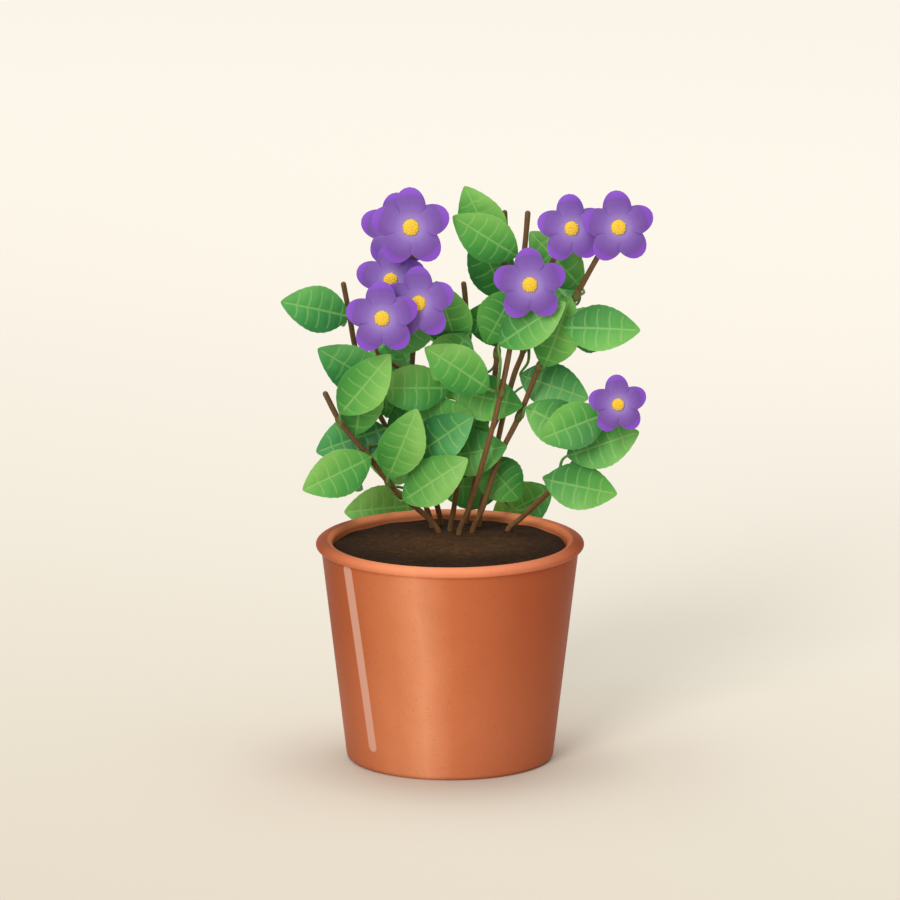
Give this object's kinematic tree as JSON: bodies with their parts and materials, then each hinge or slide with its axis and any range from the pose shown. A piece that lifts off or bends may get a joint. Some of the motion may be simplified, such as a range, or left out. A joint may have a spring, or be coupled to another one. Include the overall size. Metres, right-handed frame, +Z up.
{
  "type": "potted african violet",
  "caption": "A flowering plant in a round glazed terracotta pot full of soil: bare brown stems that carry pointed green leaves and open violet blooms with yellow eyes. It stands on a table.",
  "frame": {"origin": "the centre of the pot's flat underside, in the plane that the pot stands on", "axes": "+Z is up along the pot's own axis, which is also the way to the plant's highest leaf and bloom; -Y is the front, which the blooms face; +X is to the right seen from the front"},
  "size_m": [0.1665, 0.1265, 0.261],
  "materials": {
    "pot": "gloss",
    "soil": "matte",
    "stem": "matte",
    "leaf": "matte",
    "petal": "matte",
    "eye": "matte",
    "calyx": "matte"
  },
  "bodies": {
    "root": {"pot": "pot", "soil": "soil", "stem_left": "stem", "stem_far_left": "stem", "stem_middle": "stem", "stem_back": "stem", "stem_front": "stem", "stem_right": "stem", "stem_inner": "stem", "stem_low_right": "stem", "stem_bloom_bunch": "stem", "leaves_left_top": "leaf", "leaves_left_middle": "leaf", "leaves_left_low": "leaf", "leaves_far_left": "leaf", "leaves_middle_top": "leaf", "leaves_middle": "leaf", "leaves_back_top": "leaf", "leaves_back_upper": "leaf", "leaves_back_middle": "leaf", "leaves_back_low": "leaf", "leaves_front_top": "leaf", "leaves_front": "leaf", "leaves_right_top": "leaf", "leaves_right_middle": "leaf", "leaves_right_low": "leaf", "leaves_inner_top": "leaf", "leaves_inner_low": "leaf", "leaves_low_right": "leaf", "leaves_far_right": "leaf", "leaves_bunch_low": "leaf", "leaves_bunch_middle": "leaf", "bloom_top_left_petals": "petal", "bloom_top_left_eye": "eye", "bloom_top_left_calyx": "calyx", "bloom_top_left_back_petals": "petal", "bloom_top_left_back_eye": "eye", "bloom_top_left_back_calyx": "calyx", "bloom_left_petals": "petal", "bloom_left_eye": "eye", "bloom_left_calyx": "calyx", "bloom_middle_petals": "petal", "bloom_middle_eye": "eye", "bloom_middle_calyx": "calyx", "bloom_front_petals": "petal", "bloom_front_eye": "eye", "bloom_front_calyx": "calyx", "bloom_top_right_petals": "petal", "bloom_top_right_eye": "eye", "bloom_top_right_calyx": "calyx", "bloom_far_right_petals": "petal", "bloom_far_right_eye": "eye", "bloom_far_right_calyx": "calyx", "bloom_right_petals": "petal", "bloom_right_eye": "eye", "bloom_right_calyx": "calyx", "bloom_low_right_petals": "petal", "bloom_low_right_eye": "eye", "bloom_low_right_calyx": "calyx"}
  },
  "joints": []
}
